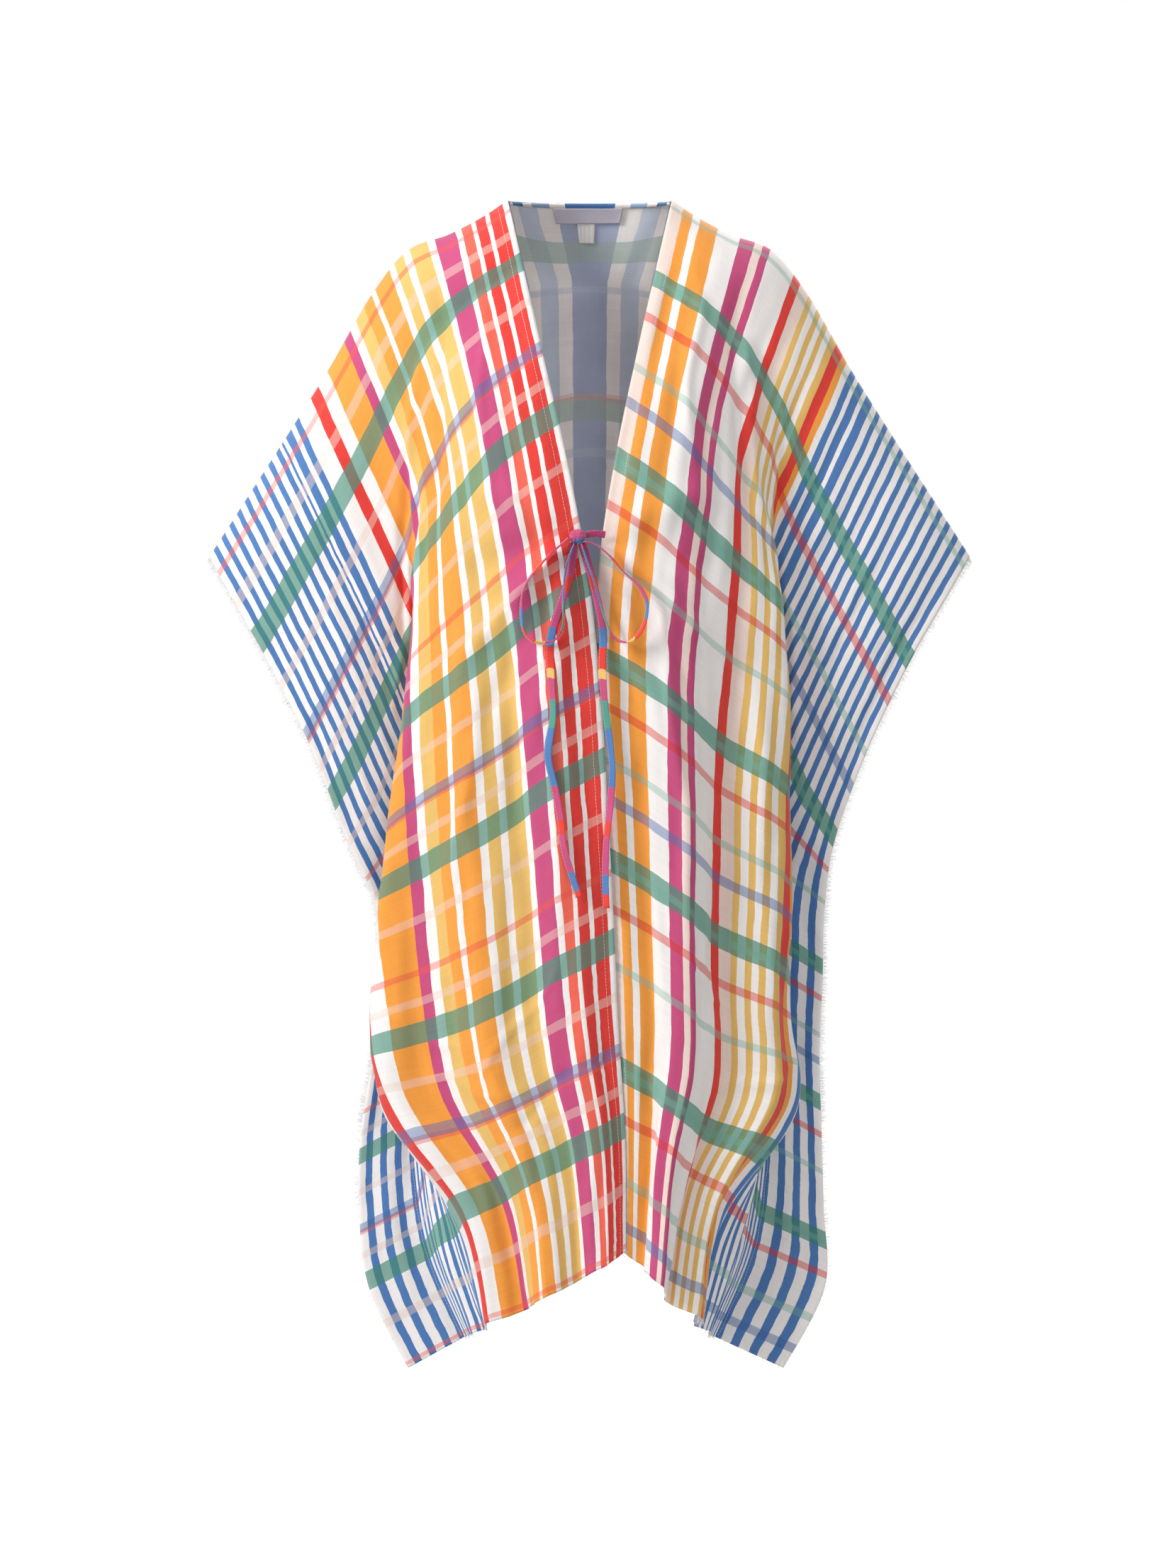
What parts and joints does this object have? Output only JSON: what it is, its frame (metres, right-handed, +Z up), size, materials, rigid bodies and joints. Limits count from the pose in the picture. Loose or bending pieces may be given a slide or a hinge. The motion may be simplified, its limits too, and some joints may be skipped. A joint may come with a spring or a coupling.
{
  "type": "open-front kimono cover-up",
  "caption": "Light, slightly sheer printed kimono cover-up with batwing sleeves and frayed edges, worn with no wearer, its deep V front tied in a small self-fabric bow.",
  "frame": {"origin": "midway between the shoulders, level with the two neck points, where the wearer's shoulders carry the garment", "axes": "+Z up, +X to the viewer's right as the front is seen (the wearer's left), +Y behind the wearer"},
  "size_m": [0.7596, 0.2629, 1.167],
  "materials": {
    "print_cloth": "soft plain weave, printed, slightly sheer",
    "tie_cloth": "the same printed cloth, folded and stitched into narrow ties",
    "label_satin": "smooth woven satin label, bare",
    "care_tape": "smooth white tape, bare",
    "frayed_yarn": "loose yarn ends of the plain weave"
  },
  "bodies": {
    "root": {"back": "print_cloth", "front_right": "print_cloth", "front_left": "print_cloth", "front_hem_right": "print_cloth", "front_hem_left": "print_cloth", "neck_edge": "print_cloth", "bow_knot": "tie_cloth", "bow_loop_right": "tie_cloth", "bow_loop_left": "tie_cloth", "tie_tail_right": "tie_cloth", "tie_tail_left": "tie_cloth", "tie_strap_left": "tie_cloth", "neck_label": "label_satin", "care_label": "care_tape", "fray_hem_front_right": "frayed_yarn", "fray_hem_front_left": "frayed_yarn", "fray_hem_back": "frayed_yarn", "fray_side_front_right": "frayed_yarn", "fray_side_front_left": "frayed_yarn", "fray_side_back_right": "frayed_yarn", "fray_side_back_left": "frayed_yarn"}
  },
  "joints": []
}
